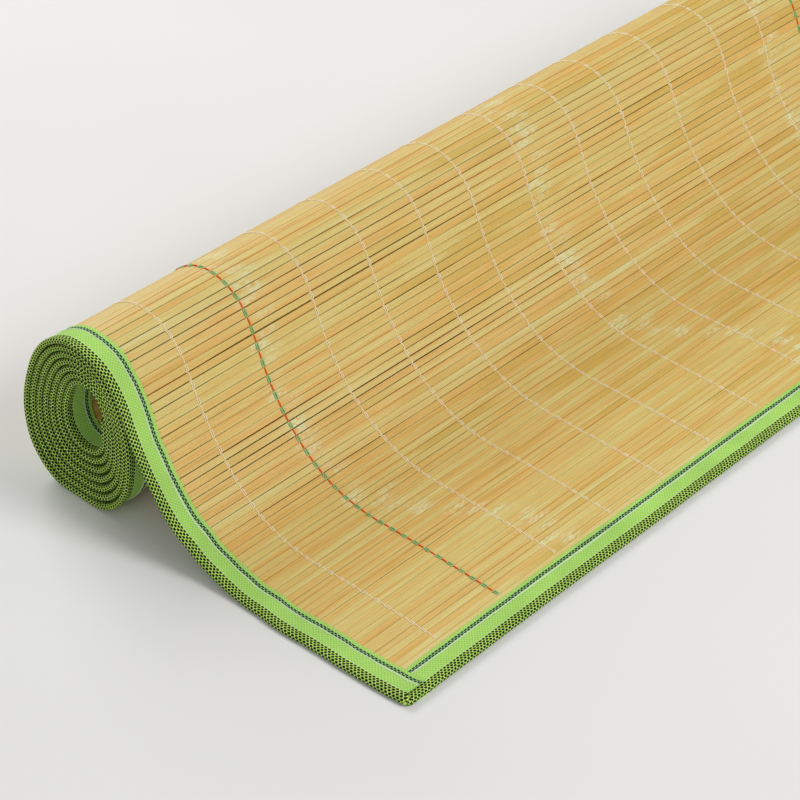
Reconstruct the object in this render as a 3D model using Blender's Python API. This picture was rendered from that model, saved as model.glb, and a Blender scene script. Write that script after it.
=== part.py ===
"""Bamboo slat mat with cloth binding, partly unrolled: a roll at the back, a drape and a flat front.

The slats run along X. The free front edge is towards -Y and the roll is towards +Y. Every layer
follows one section curve in the YZ plane, so the solids are this curve given a thickness.
"""

import math

import bmesh
import bpy
import numpy as np

# Driving dimensions, in metres and degrees
MAT_WIDTH = 0.800
SLAT_THICKNESS = 0.0015
TAPE_WIDTH = 0.0212
TAPE_THICKNESS = 0.0010
PIECE_GAP = 0.0003
TURNS = 6.8
ROLL_CENTRE_HEIGHT = 0.0601
DRIFT_PER_TURN = 0.0012
CORNER_NOTCH = 0.0005
DRIFT_CLEARANCE = 3.0

# Steps of the section curve
ROLL_STEP = 15.0
DRAPE_STEP = 10.0
LONGEST_RUN = 0.025
SHORTEST_RUN = 0.0004

BOUND_THICKNESS = SLAT_THICKNESS + 2 * (PIECE_GAP + TAPE_THICKNESS)
HALF_BOUND = BOUND_THICKNESS / 2
HALF_SLAT = SLAT_THICKNESS / 2
HALF_SLOT = HALF_SLAT + PIECE_GAP
EDGE_INSET = TAPE_THICKNESS + PIECE_GAP

# The roll is a rounded block with a flat foot: radii from its centre to the outside of the outer
# turn and to the hollow, for directions that turn from the back (+Y) up to the top and round.
ROLL_ROWS = (
    # direction, outside, hollow
    (0.0, 0.0488, 0.0130),
    (22.5, 0.0472, 0.0122),
    (45.0, 0.0504, 0.0136),
    (67.5, 0.0560, 0.0166),
    (90.0, 0.0603, 0.0196),
    (112.5, 0.0590, 0.0202),
    (135.0, 0.0546, 0.0182),
    (157.5, 0.0512, 0.0156),
    (180.0, 0.0512, 0.0148),
    (202.5, 0.0540, 0.0162),
    (225.0, 0.0604, 0.0192),
    (247.5, 0.0650, 0.0216),
    (270.0, 0.0632, 0.0224),
    (292.5, 0.0656, 0.0216),
    (315.0, 0.0616, 0.0186),
    (337.5, 0.0542, 0.0150),
)

# The drape from the front edge to the steepest place, and from there over the brow to the crest.
# Each stretch bends evenly from the slope before it to its own.
FRONT_ROWS = (
    # stretch, length, slope at its end
    ("flat", 0.122, 0.0),
    ("toe", 0.025, 13.0),
    ("lower rise", 0.030, 31.5),
    ("rise", 0.031, 46.5),
    ("upper rise", 0.034, 58.5),
    ("steep", 0.021, 66.5),
)
BROW_ROWS = (
    # stretch, length, slope at its end
    ("brow", 0.0125, 62.0),
    ("shoulder", 0.0125, 49.5),
    ("crown", 0.0365, None),
)

# The left edge is drawn in a little towards the front corner.
LEFT_INSET_ROWS = (
    # distance from the front edge, inset
    (0.000, 0.0040),
    (0.020, 0.0032),
    (0.045, 0.0016),
    (0.080, 0.0004),
    (0.110, 0.0000),
)

BAMBOO_COLOUR = (0.72, 0.47, 0.16, 1.0)
TAPE_COLOUR = (0.28, 0.56, 0.08, 1.0)


def clear_scene():
    for obj in list(bpy.data.objects):
        bpy.data.objects.remove(obj, do_unlink=True)


def material(name, colour, roughness):
    mat = bpy.data.materials.new(name)
    mat.use_nodes = True
    shader = mat.node_tree.nodes["Principled BSDF"]
    shader.inputs["Base Color"].default_value = colour
    shader.inputs["Roughness"].default_value = roughness
    shader.inputs["Metallic"].default_value = 0.0
    mat.diffuse_color = colour
    return mat


def radius_at(direction, column):
    """A smooth closed curve through one column of ROLL_ROWS."""
    values = [row[column] for row in ROLL_ROWS]
    step = 360.0 / len(values)
    place = (direction % 360.0) / step
    index = int(place)
    part = place - index
    before, low, high, after = (values[(index + k) % len(values)] for k in (-1, 0, 1, 2))
    rise_low = (high - before) / 2
    rise_high = (after - low) / 2
    return (
        low * (1 + 2 * part) * (1 - part) ** 2
        + rise_low * part * (1 - part) ** 2
        + high * part**2 * (3 - 2 * part)
        + rise_high * part**2 * (part - 1)
    )


def roll_point(swept):
    """The middle of the sheet, swept degrees round the roll from the crest, over the back first."""
    direction = 90.0 - swept
    outside = radius_at(direction, 1)
    hollow = radius_at(direction, 2) + BOUND_THICKNESS
    radius = outside - (outside - hollow) * swept / (360.0 * TURNS) - HALF_BOUND
    angle = math.radians(direction)
    height = ROLL_CENTRE_HEIGHT + radius * math.sin(angle)
    return np.array([radius * math.cos(angle), max(height, HALF_BOUND)])


def roll_line():
    count = round(360.0 * TURNS / ROLL_STEP)
    swept = np.linspace(0.0, 360.0 * TURNS, count + 1)
    return [roll_point(angle) for angle in swept], list(swept)


def stretch_steps(start, rows):
    """Short straight steps (length, slope) of stretches that bend evenly."""
    steps = []
    slope = start
    for _, length, end in rows:
        count = max(math.ceil(length / LONGEST_RUN), math.ceil(abs(end - slope) / DRAPE_STEP))
        for k in range(count):
            steps.append((length / count, slope + (end - slope) * (k + 0.5) / count))
        slope = end
    return steps


def drape_line(crest, crest_slope):
    """From the front edge to the crest. The steepest run is as long as the height needs."""
    front = stretch_steps(0.0, FRONT_ROWS)
    steepest = FRONT_ROWS[-1][2]
    brow_rows = [(name, length, crest_slope if end is None else end) for name, length, end in BROW_ROWS]
    brow = stretch_steps(steepest, brow_rows)
    climbed = sum(length * math.sin(math.radians(slope)) for length, slope in front + brow)
    missing = (crest[1] - HALF_BOUND - climbed) / math.sin(math.radians(steepest))
    steps = front + stretch_steps(steepest, [("straight", missing, steepest)]) + brow
    points = [np.array(crest)]
    for length, slope in reversed(steps):
        angle = math.radians(slope)
        points.append(points[-1] - length * np.array([math.cos(angle), math.sin(angle)]))
    return points[::-1]


def section():
    """Points of the section curve, their distance along the sheet and the sideways drift there."""
    roll, swept = roll_line()
    first = roll_point(1.0) - roll_point(0.0)
    crest_slope = math.degrees(math.atan2(first[1], first[0]))
    drape = drape_line(roll[0], crest_slope)
    points = np.array(drape[:-1] + roll)
    drift = np.array([0.0] * (len(drape) - 1) + swept) / 360.0 * DRIFT_PER_TURN
    along = np.concatenate([[0.0], np.cumsum(np.linalg.norm(np.diff(points, axis=0), axis=1))])
    return along, points, drift


def station(curve, distance):
    """Place and normal of the curve at a distance, with the drift. The normal points to the top face."""
    along, points, drift = curve
    place = np.array([np.interp(distance, along, points[:, k]) for k in (0, 1)])
    low, high = max(distance - SHORTEST_RUN, 0.0), min(distance + SHORTEST_RUN, along[-1])
    ahead = np.array([np.interp(high, along, points[:, k]) for k in (0, 1)])
    behind = np.array([np.interp(low, along, points[:, k]) for k in (0, 1)])
    run = (ahead - behind) / np.linalg.norm(ahead - behind)
    return place, np.array([-run[1], run[0]]), np.interp(distance, along, drift)


def stations(curve, start, end):
    """Stations at the curve's own corners between start and end, and at both ends."""
    along = curve[0]
    inside = [d for d in along if start + SHORTEST_RUN < d < end - SHORTEST_RUN]
    return [start, *inside, end]


def mitre(curve, distance):
    """How much longer the offset is at a corner, so that the sheet keeps its thickness."""
    along, points, _ = curve
    index = int(np.argmin(np.abs(along - distance)))
    if abs(along[index] - distance) > 1e-9 or index in (0, len(along) - 1):
        return 1.0
    before = points[index] - points[index - 1]
    after = points[index + 1] - points[index]
    turn = math.atan2(before[0] * after[1] - before[1] * after[0], before @ after)
    return 1.0 / math.cos(turn / 2)


def edge_place(side, distance):
    """The x of the mat's left (-1) or right (+1) edge, before the drift."""
    inset = np.interp(distance, *zip(*LEFT_INSET_ROWS)) if side < 0 else 0.0
    return side * (MAT_WIDTH / 2 - inset)


def ring(curve, distance, corners):
    """Corners (x, height off the middle) of a section across the sheet, as points in space."""
    place, normal, drift = station(curve, distance)
    stretch = mitre(curve, distance)
    return [(x + drift, *(place + normal * off * stretch)) for x, off in corners]


def solid(name, rings, mat, centre):
    """A closed solid through rings of equal length, with a face over each end."""
    mesh = bpy.data.meshes.new(name)
    shape = bmesh.new()
    rows = [[shape.verts.new((x - centre[0], y - centre[1], z)) for x, y, z in points] for points in rings]
    count = len(rows[0])
    for one, two in zip(rows, rows[1:]):
        for k in range(count):
            after = (k + 1) % count
            shape.faces.new((one[k], one[after], two[after], two[k]))
    shape.faces.new(reversed(rows[0]))
    shape.faces.new(rows[-1])
    shape.normal_update()
    bmesh.ops.triangulate(shape, faces=shape.faces[:])
    if shape.calc_volume(signed=True) < 0:
        bmesh.ops.reverse_faces(shape, faces=shape.faces[:])
    print(f"{name}: {shape.calc_volume() * 1e6:.1f} cubic centimetres, {len(shape.faces)} triangles")
    shape.to_mesh(mesh)
    shape.free()
    mesh.materials.append(mat)
    mesh.shade_smooth()
    mesh.set_sharp_from_angle(angle=math.radians(30))
    obj = bpy.data.objects.new(name, mesh)
    bpy.context.scene.collection.objects.link(obj)
    return obj


def slat_sheet(curve, mat, centre):
    """The slats as one bent sheet, whose edges lie inside the folded tapes."""
    length = curve[0][-1]
    rings = []
    for distance in stations(curve, EDGE_INSET, length - EDGE_INSET):
        left = edge_place(-1, distance) + EDGE_INSET
        right = edge_place(1, distance) - EDGE_INSET
        corners = [(left, -HALF_SLAT), (right, -HALF_SLAT), (right, HALF_SLAT), (left, HALF_SLAT)]
        rings.append(ring(curve, distance, corners))
    return solid("slat_sheet", rings, mat, centre)


def folded_corners(side, distance, slot_depth):
    """The folded tape across the sheet, with its fold on the outside and its slot open inwards."""
    fold = edge_place(side, distance)
    open_side = fold - side * TAPE_WIDTH
    slot_end = open_side + side * slot_depth
    return [
        (fold, -HALF_BOUND),
        (open_side, -HALF_BOUND),
        (open_side, -HALF_SLOT),
        (slot_end, -HALF_SLOT),
        (slot_end, HALF_SLOT),
        (open_side, HALF_SLOT),
        (open_side, HALF_BOUND),
        (fold, HALF_BOUND),
    ]


def side_binding(name, side, curve, mat, centre):
    """Tape folded over the slat ends. At both ends of the mat the tape closes over the corner."""
    length = curve[0][-1]
    slot_depths = [(0.0, CORNER_NOTCH)]
    for distance in stations(curve, TAPE_THICKNESS, length - TAPE_THICKNESS):
        slot_depths.append((distance, TAPE_WIDTH - TAPE_THICKNESS))
    slot_depths.append((length, CORNER_NOTCH))
    rings = [ring(curve, d, folded_corners(side, d, depth)) for d, depth in slot_depths]
    return solid(name, rings, mat, centre)


def end_binding(name, fold, open_end, curve, mat, centre):
    """Tape folded over the first or the last slat, between the side tapes."""
    inward = math.copysign(1.0, open_end - fold)
    slot_end = fold + inward * TAPE_THICKNESS
    outer = stations(curve, min(fold, open_end), max(fold, open_end))
    inner = stations(curve, min(slot_end, open_end), max(slot_end, open_end))
    if inward < 0:
        outer = outer[::-1]
        inner = inner[::-1]

    def line(distances, off):
        return [
            station(curve, d)[0] + station(curve, d)[1] * off * mitre(curve, d) for d in distances
        ]

    outline = (
        line(outer, -HALF_BOUND)
        + line(inner[::-1], -HALF_SLOT)
        + line(inner, HALF_SLOT)
        + line(outer[::-1], HALF_BOUND)
    )
    drift = station(curve, fold)[2]
    clearance = PIECE_GAP + DRIFT_CLEARANCE * abs(drift - station(curve, open_end)[2])
    rings = []
    for side in (-1, 1):
        x = edge_place(side, min(fold, open_end)) - side * (TAPE_WIDTH + clearance) + drift
        rings.append([(x, y, z) for y, z in outline])
    return solid(name, rings, mat, centre)


def main():
    clear_scene()
    bamboo = material("bamboo", BAMBOO_COLOUR, 0.55)
    tape = material("binding_tape", TAPE_COLOUR, 0.85)
    curve = section()
    along, points, drift = curve
    front, back = points[:, 0].min(), points[:, 0].max() + HALF_BOUND
    centre = (drift[-1] / 2, (front + back) / 2)
    length = along[-1]
    slat_sheet(curve, bamboo, centre)
    side_binding("binding_left", -1.0, curve, tape, centre)
    side_binding("binding_right", 1.0, curve, tape, centre)
    end_binding("binding_front", 0.0, TAPE_WIDTH, curve, tape, centre)
    end_binding("binding_inner_end", length, length - TAPE_WIDTH, curve, tape, centre)
    print(f"mat {MAT_WIDTH * 1000:.0f} mm wide, {length * 1000:.0f} mm long, {len(along)} stations")


main()
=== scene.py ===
# %% [markdown]
# # A bamboo slat mat, partly unrolled
#
# The object is a roll-up mat: hundreds of bamboo slats lie side by side, warp threads hold them
# together, and a folded cloth tape binds all four edges. The mat comes off the top of its own
# roll, drapes down and lies flat in front. Every layer follows one curve in the side view, so
# this lesson builds that curve first and then lays slats, threads and tape along it.

# %% Load the solid parts
import math
import random

import bmesh
import bpy
import numpy as np
from mathutils import Matrix, Vector, noise


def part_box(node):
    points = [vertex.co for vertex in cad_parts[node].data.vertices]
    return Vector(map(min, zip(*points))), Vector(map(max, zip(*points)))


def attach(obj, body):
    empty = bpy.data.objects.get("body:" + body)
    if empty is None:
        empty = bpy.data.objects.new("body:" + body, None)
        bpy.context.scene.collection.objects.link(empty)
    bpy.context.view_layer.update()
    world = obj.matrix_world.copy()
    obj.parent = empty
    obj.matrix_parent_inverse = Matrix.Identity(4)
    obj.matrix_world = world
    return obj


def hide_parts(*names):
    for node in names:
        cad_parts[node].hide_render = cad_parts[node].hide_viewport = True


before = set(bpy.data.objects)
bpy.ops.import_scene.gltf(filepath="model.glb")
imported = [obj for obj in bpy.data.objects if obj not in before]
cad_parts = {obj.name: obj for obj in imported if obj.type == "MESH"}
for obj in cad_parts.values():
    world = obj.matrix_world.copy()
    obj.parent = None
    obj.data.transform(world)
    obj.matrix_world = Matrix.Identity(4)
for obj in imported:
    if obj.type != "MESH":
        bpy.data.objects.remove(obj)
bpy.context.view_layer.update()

# %% [markdown]
# ## Sizes
#
# The sizes are those of the solid part, in metres. The roll is a rounded block with a flat foot,
# so its outside and its hollow are tables of radii for directions that turn from the back (+Y)
# up to the top and round. The drape is a row of stretches, and each one bends evenly from the
# slope before it to its own. A table of a few named rows is easier to adjust by eye than a list
# of points.

# %% Sizes of the mat
MAT_WIDTH = 0.800
SLAT_THICKNESS = 0.0015
TAPE_WIDTH = 0.0212
BOUND_THICKNESS = 0.0041
EDGE_INSET = 0.0013
TURNS = 6.8
ROLL_CENTRE_HEIGHT = 0.0601
DRIFT_PER_TURN = 0.0012
HALF_BOUND = BOUND_THICKNESS / 2
HALF_SLAT = SLAT_THICKNESS / 2

ROLL_ROWS = (
    # direction, outside, hollow
    (0.0, 0.0488, 0.0130),
    (22.5, 0.0472, 0.0122),
    (45.0, 0.0504, 0.0136),
    (67.5, 0.0560, 0.0166),
    (90.0, 0.0603, 0.0196),
    (112.5, 0.0590, 0.0202),
    (135.0, 0.0546, 0.0182),
    (157.5, 0.0512, 0.0156),
    (180.0, 0.0512, 0.0148),
    (202.5, 0.0540, 0.0162),
    (225.0, 0.0604, 0.0192),
    (247.5, 0.0650, 0.0216),
    (270.0, 0.0632, 0.0224),
    (292.5, 0.0656, 0.0216),
    (315.0, 0.0616, 0.0186),
    (337.5, 0.0542, 0.0150),
)
FRONT_ROWS = (
    # stretch, length, slope at its end
    ("flat", 0.122, 0.0),
    ("toe", 0.025, 13.0),
    ("lower rise", 0.030, 31.5),
    ("rise", 0.031, 46.5),
    ("upper rise", 0.034, 58.5),
    ("steep", 0.021, 66.5),
)
BROW_ROWS = (
    # stretch, length, slope at its end
    ("brow", 0.0125, 62.0),
    ("shoulder", 0.0125, 49.5),
    ("crown", 0.0365, None),
)
LEFT_INSET_ROWS = (
    # distance from the front edge, how far the left edge is drawn in
    (0.000, 0.0040),
    (0.020, 0.0032),
    (0.045, 0.0016),
    (0.080, 0.0004),
    (0.110, 0.0000),
)

# %% [markdown]
# ## The section curve
#
# In the side view the mat is one line: flat, up the drape, over the crest and then round the
# roll in turns that shrink towards the hollow. It could be drawn as a Bezier curve by hand, but
# a computed line keeps the turns evenly spaced, so no layer cuts through the next. The radii
# between two rows of the table come from a cubic curve that passes through all of them.

# %% Work out the section curve
ROLL_STEP = 5.0
DRAPE_STEP = 2.5
LONGEST_RUN = 0.006


def radius_at(direction, column):
    """A smooth closed curve through one column of ROLL_ROWS."""
    values = [row[column] for row in ROLL_ROWS]
    step = 360.0 / len(values)
    place = (direction % 360.0) / step
    index = int(place)
    part = place - index
    before, low, high, after = (values[(index + k) % len(values)] for k in (-1, 0, 1, 2))
    return (
        low * (1 + 2 * part) * (1 - part) ** 2
        + (high - before) / 2 * part * (1 - part) ** 2
        + high * part**2 * (3 - 2 * part)
        + (after - low) / 2 * part**2 * (part - 1)
    )


def roll_point(swept):
    """The middle of the sheet, swept degrees round the roll from the crest, over the back first."""
    direction = 90.0 - swept
    outside = radius_at(direction, 1)
    hollow = radius_at(direction, 2) + BOUND_THICKNESS
    radius = outside - (outside - hollow) * swept / (360.0 * TURNS) - HALF_BOUND
    angle = math.radians(direction)
    height = ROLL_CENTRE_HEIGHT + radius * math.sin(angle)
    return np.array([radius * math.cos(angle), max(height, HALF_BOUND)])


def stretch_steps(start, rows):
    """Short straight steps (length, slope) of stretches that bend evenly."""
    steps = []
    slope = start
    for _, length, end in rows:
        count = max(math.ceil(length / LONGEST_RUN), math.ceil(abs(end - slope) / DRAPE_STEP))
        steps += [(length / count, slope + (end - slope) * (k + 0.5) / count) for k in range(count)]
        slope = end
    return steps


def drape_line(crest, crest_slope):
    """From the front edge to the crest. The steepest run is as long as the height needs."""
    front = stretch_steps(0.0, FRONT_ROWS)
    steepest = FRONT_ROWS[-1][2]
    brow_rows = [(name, length, crest_slope if end is None else end) for name, length, end in BROW_ROWS]
    brow = stretch_steps(steepest, brow_rows)
    climbed = sum(length * math.sin(math.radians(slope)) for length, slope in front + brow)
    missing = (crest[1] - HALF_BOUND - climbed) / math.sin(math.radians(steepest))
    steps = front + stretch_steps(steepest, [("straight", missing, steepest)]) + brow
    points = [np.array(crest)]
    for length, slope in reversed(steps):
        angle = math.radians(slope)
        points.append(points[-1] - length * np.array([math.cos(angle), math.sin(angle)]))
    return points[::-1]


turn_steps = np.linspace(0.0, 360.0 * TURNS, round(360.0 * TURNS / ROLL_STEP) + 1)
roll_line = [roll_point(swept) for swept in turn_steps]
crest_run = roll_point(1.0) - roll_point(0.0)
drape = drape_line(roll_line[0], math.degrees(math.atan2(crest_run[1], crest_run[0])))
line = np.array(drape[:-1] + roll_line)
runs = np.diff(line, axis=0)
along = np.concatenate([[0.0], np.cumsum(np.linalg.norm(runs, axis=1))])
run_angles = np.unwrap(np.arctan2(runs[:, 1], runs[:, 0]))
angles = np.concatenate([run_angles[:1], (run_angles[1:] + run_angles[:-1]) / 2, run_angles[-1:]])
sideways = np.concatenate([np.zeros(len(drape) - 1), turn_steps / 360.0 * DRIFT_PER_TURN])
mat_length = along[-1]
crest_distance = along[len(drape) - 1]
print(f"mat length {mat_length:.4f} m, crest at {crest_distance:.4f} m, {len(along)} stations")

# %% [markdown]
# ## From the flat mat to the real place
#
# Everything below is planned on the flat mat: x across it, distance along it, and height off the
# middle of the slats. One function carries such a place to the bent mat in space. The turns of
# the roll drift a little sideways, as they do when a mat is rolled by hand. The back of the
# solid binding says where the roll stands.

# %% Carry a place on the flat mat into space
shift_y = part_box("binding_left")[1][1] - (line[:, 0].max() + HALF_BOUND)
shift_x = -TURNS * DRIFT_PER_TURN / 2


def slope_at(distance):
    return np.interp(distance, along, angles)


def to_space(x, distance, height):
    """Points in space for places on the flat mat."""
    x, distance, height = np.broadcast_arrays(x, distance, height)
    beyond = distance - np.clip(distance, 0.0, mat_length)
    angle = slope_at(distance)
    y = np.interp(distance, along, line[:, 0]) + beyond * np.cos(angle)
    z = np.interp(distance, along, line[:, 1]) + beyond * np.sin(angle)
    drift = np.interp(distance, along, sideways)
    return np.stack(
        [x + drift + shift_x, y + shift_y - height * np.sin(angle), z + height * np.cos(angle)],
        axis=-1,
    )


def left_inset(distance):
    return np.interp(distance, *zip(*LEFT_INSET_ROWS))


print("front edge and crest:", to_space(0.0, np.array([0.0, crest_distance]), 0.0).round(4).tolist())

# %% [markdown]
# ## Camera
#
# The photograph was taken from the front left, well above the mat, with a long lens. The camera
# is set by its place, the way it looks and a small roll, because a camera that merely tracks a
# target would stand upright.

# %% Set the camera
CAMERA_PLACE = (-1.1905, -0.8502, 1.0097)
CAMERA_AZIMUTH = -48.438
CAMERA_ELEVATION = 36.992
CAMERA_ROLL = 1.751
LENS = 114.33
SENSOR = 36.0

azimuth, elevation, roll = (math.radians(a) for a in (CAMERA_AZIMUTH, CAMERA_ELEVATION, CAMERA_ROLL))
right = Vector((math.cos(azimuth), math.sin(azimuth), 0.0))
backward = Vector(
    (math.sin(azimuth) * math.cos(elevation), -math.cos(azimuth) * math.cos(elevation), math.sin(elevation))
)
upward = backward.cross(right)
camera_x = right * math.cos(roll) + upward * math.sin(roll)
camera_y = upward * math.cos(roll) - right * math.sin(roll)
camera = bpy.data.objects.new("camera", bpy.data.cameras.new("camera"))
camera.data.lens = LENS
camera.data.sensor_width = SENSOR
camera.data.sensor_fit = "HORIZONTAL"
camera.data.clip_start = 0.05
camera.matrix_world = Matrix.Translation(CAMERA_PLACE) @ Matrix((camera_x, camera_y, backward)).transposed().to_4x4()
bpy.context.scene.collection.objects.link(camera)
bpy.context.scene.camera = camera
print("camera at", tuple(round(c, 3) for c in camera.location))

# %% [markdown]
# ## Helpers for node trees
#
# Geometry and shader trees are built with the same few lines: `add` makes a node and fills its
# inputs, where a socket makes a link and any other value is set on the input. `calc` is a Math
# node. `make_tree` starts a tree with named inputs, and `run_tree` runs it on points and turns
# the result into a plain mesh.

# %% Node helpers


def add(tree, kind, inputs=None, **settings):
    """A node with its settings and its inputs, by name or by number."""
    node = tree.nodes.new(kind)
    for name, value in settings.items():
        setattr(node, name, value)
    for key, value in (inputs or {}).items():
        if isinstance(value, bpy.types.NodeSocket):
            tree.links.new(value, node.inputs[key])
        else:
            node.inputs[key].default_value = value
    return node


def calc(tree, operation, *values):
    """The output of a Math node on these values."""
    return add(tree, "ShaderNodeMath", dict(enumerate(values)), operation=operation).outputs[0]


def make_tree(name, kind, inputs, outputs):
    """A node tree with named inputs and outputs, and its two end nodes."""
    tree = bpy.data.node_groups.new(name, kind)
    for label, socket_kind, value in inputs:
        socket = tree.interface.new_socket(label, in_out="INPUT", socket_type=socket_kind)
        if value is not None:
            socket.default_value = value
    for label, socket_kind in outputs:
        tree.interface.new_socket(label, in_out="OUTPUT", socket_type=socket_kind)
    return tree, add(tree, "NodeGroupInput"), add(tree, "NodeGroupOutput")


def named(tree, name, data_type="FLOAT"):
    """The values of a named attribute inside a geometry tree."""
    return add(tree, "GeometryNodeInputNamedAttribute", {"Name": name}, data_type=data_type).outputs["Attribute"]


def point_cloud(name, places, **columns):
    """A mesh of loose points. Each column of values becomes an attribute."""
    mesh = bpy.data.meshes.new(name)
    mesh.vertices.add(len(places))
    mesh.vertices.foreach_set("co", np.asarray(places, np.float32).ravel())
    for label, values in columns.items():
        values = np.asarray(values, np.float32)
        kind, field = ("FLOAT_VECTOR", "vector") if values.ndim == 2 else ("FLOAT", "value")
        mesh.attributes.new(label, kind, "POINT").data.foreach_set(field, values.ravel())
    obj = bpy.data.objects.new(name, mesh)
    bpy.context.scene.collection.objects.link(obj)
    return obj


def run_tree(obj, tree, **values):
    """Runs the tree on the object and keeps its result as a plain mesh."""
    modifier = obj.modifiers.new("shape", "NODES")
    modifier.node_group = tree
    finish = values["finish"]
    for item in tree.interface.items_tree:
        label = item.name.lower().replace(" ", "_")
        if item.in_out == "INPUT" and label in values:
            modifier[item.identifier] = values.pop(label)
    if values:
        raise ValueError(f"{tree.name} has no input for {sorted(values)}")
    bpy.context.view_layer.update()
    graph = bpy.context.evaluated_depsgraph_get()
    mesh = bpy.data.meshes.new_from_object(obj.evaluated_get(graph), depsgraph=graph)
    obj.modifiers.remove(modifier)
    points = obj.data
    obj.data = mesh
    bpy.data.meshes.remove(points)
    mesh.name = obj.name
    mesh.materials.clear()
    mesh.materials.append(finish)
    mesh.calc_loop_triangles()
    print(f"{obj.name}: {len(mesh.loop_triangles)} triangles")
    return obj


# %% [markdown]
# ## Bamboo finish
#
# Split bamboo is straw to gold, with long fine fibres and slats that differ from each other
# because they come from different canes. Every cane has nodes about a hand's width and a half
# apart, which show on the slats as pale flecked patches, in bands that wander across the mat.
# Three noises do the work: one slow along the slat, one of thin streaks and one of fibres. They
# read the place along the slat, the place across it and the slat's own number, so the pattern
# follows each slat round the roll and never runs on into its neighbour. The long edges of every
# slat are darkened a little towards brown, a painted shade for the gaps between the slats.

# %% Bamboo material
NODE_SPACING = 0.266
NODE_FIRST = -0.2830
NODE_LENGTH = 0.013
GOLD_TO_RIGHT = 0.24
SLAT_COLOURS = (
    # place, colour
    (0.00, (0.460, 0.280, 0.042)),
    (0.18, (0.580, 0.370, 0.070)),
    (0.36, (0.760, 0.430, 0.100)),
    (0.52, (0.700, 0.500, 0.145)),
    (0.74, (0.710, 0.570, 0.185)),
    (1.00, (0.730, 0.650, 0.300)),
)


def new_material(name):
    mat = bpy.data.materials.new(name)
    mat.use_nodes = True
    return mat, mat.node_tree, mat.node_tree.nodes["Principled BSDF"]


def attribute(tree, name):
    return add(tree, "ShaderNodeAttribute", attribute_name=name, attribute_type="GEOMETRY").outputs["Fac"]


def stretched_noise(tree, x, across, number, scales, detail=3.0):
    """Noise with its own scale along the slat, across it and from slat to slat."""
    parts = [calc(tree, "MULTIPLY", value, scale) for value, scale in zip((x, across, number), scales)]
    vector = add(tree, "ShaderNodeCombineXYZ", dict(enumerate(parts))).outputs[0]
    return add(tree, "ShaderNodeTexNoise", {"Vector": vector, "Scale": 1.0, "Detail": detail}).outputs["Fac"]


def ramp(tree, factor, rows):
    """A colour ramp from rows of place and colour."""
    node = add(tree, "ShaderNodeValToRGB", {"Fac": factor})
    stops = node.color_ramp.elements
    while len(stops) < len(rows):
        stops.new(1.0)
    for stop, (place, colour) in zip(stops, rows):
        stop.position = place
        stop.color = (*colour, 1.0) if hasattr(colour, "__len__") else (colour, colour, colour, 1.0)
    return node.outputs["Color"]


def blend_colour(tree, factor, one, two, how="MIX"):
    inputs = {0: factor, 6: one, 7: two}
    return add(tree, "ShaderNodeMix", inputs, data_type="RGBA", blend_type=how).outputs[2]


def smooth_between(tree, value, low, high):
    """0 below low, 1 above high and smooth between them."""
    inputs = {"Value": value, "From Min": low, "From Max": high}
    return add(tree, "ShaderNodeMapRange", inputs, interpolation_type="SMOOTHSTEP").outputs["Result"]


bamboo, tree, shader = new_material("bamboo_slats")
place = add(tree, "ShaderNodeSeparateXYZ", {0: add(tree, "ShaderNodeTexCoord").outputs["Object"]}).outputs[0]
across, number, tone = (attribute(tree, name) for name in ("across", "slat_number", "tone"))
broad = stretched_noise(tree, place, across, number, (7.0, 0.9, 7.13), 2.0)
streaks = stretched_noise(tree, place, across, number, (13.0, 3.2, 3.31), 3.0)
patches = stretched_noise(tree, place, across, number, (24.0, 0.5, 1.73), 2.0)
fibres = stretched_noise(tree, place, across, number, (50.0, 14.0, 3.37), 3.0)
mixed = calc(tree, "MULTIPLY", tone, 0.30)
mixed = calc(tree, "MULTIPLY_ADD", broad, 0.80, mixed)
mixed = calc(tree, "MULTIPLY_ADD", streaks, 0.95, mixed)
mixed = calc(tree, "MULTIPLY_ADD", patches, 0.45, mixed)
mixed = calc(tree, "SUBTRACT", mixed, 0.72)
colour = ramp(tree, mixed, SLAT_COLOURS)
fibre_shade = ramp(tree, fibres, ((0.30, 0.84), (0.55, 1.0), (0.75, 1.05)))
colour = blend_colour(tree, 0.8, colour, fibre_shade, "MULTIPLY")
stretches = stretched_noise(tree, place, across, number, (6.0, 0.0, 0.83), 1.0)
stretches = calc(tree, "MULTIPLY_ADD", place, GOLD_TO_RIGHT, stretches)
golden = calc(tree, "MULTIPLY", smooth_between(tree, stretches, 0.56, 0.66), 0.65)
colour = blend_colour(tree, golden, colour, (0.610, 0.385, 0.060, 1.0))
node_place = calc(tree, "SUBTRACT", calc(tree, "SUBTRACT", place, NODE_FIRST), attribute(tree, "node_shift"))
node_place = calc(tree, "WRAP", node_place, NODE_SPACING / 2, -NODE_SPACING / 2)
from_node = calc(tree, "ABSOLUTE", node_place)
flecks = stretched_noise(tree, place, across, number, (260.0, 1.8, 5.71), 2.0)
near_node = calc(tree, "SUBTRACT", 1.0, smooth_between(tree, from_node, 0.1 * NODE_LENGTH, NODE_LENGTH))
pale = calc(tree, "MULTIPLY", near_node, smooth_between(tree, flecks, 0.38, 0.60))
pale = calc(tree, "MULTIPLY", pale, attribute(tree, "node_strength"))
colour = blend_colour(tree, calc(tree, "MULTIPLY", pale, 0.72), colour, (0.730, 0.740, 0.430, 1.0))
dark_fleck = calc(tree, "MULTIPLY", near_node, smooth_between(tree, flecks, 0.36, 0.26))
colour = blend_colour(tree, calc(tree, "MULTIPLY", dark_fleck, 0.30), colour, (0.44, 0.32, 0.08, 1.0))
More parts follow.
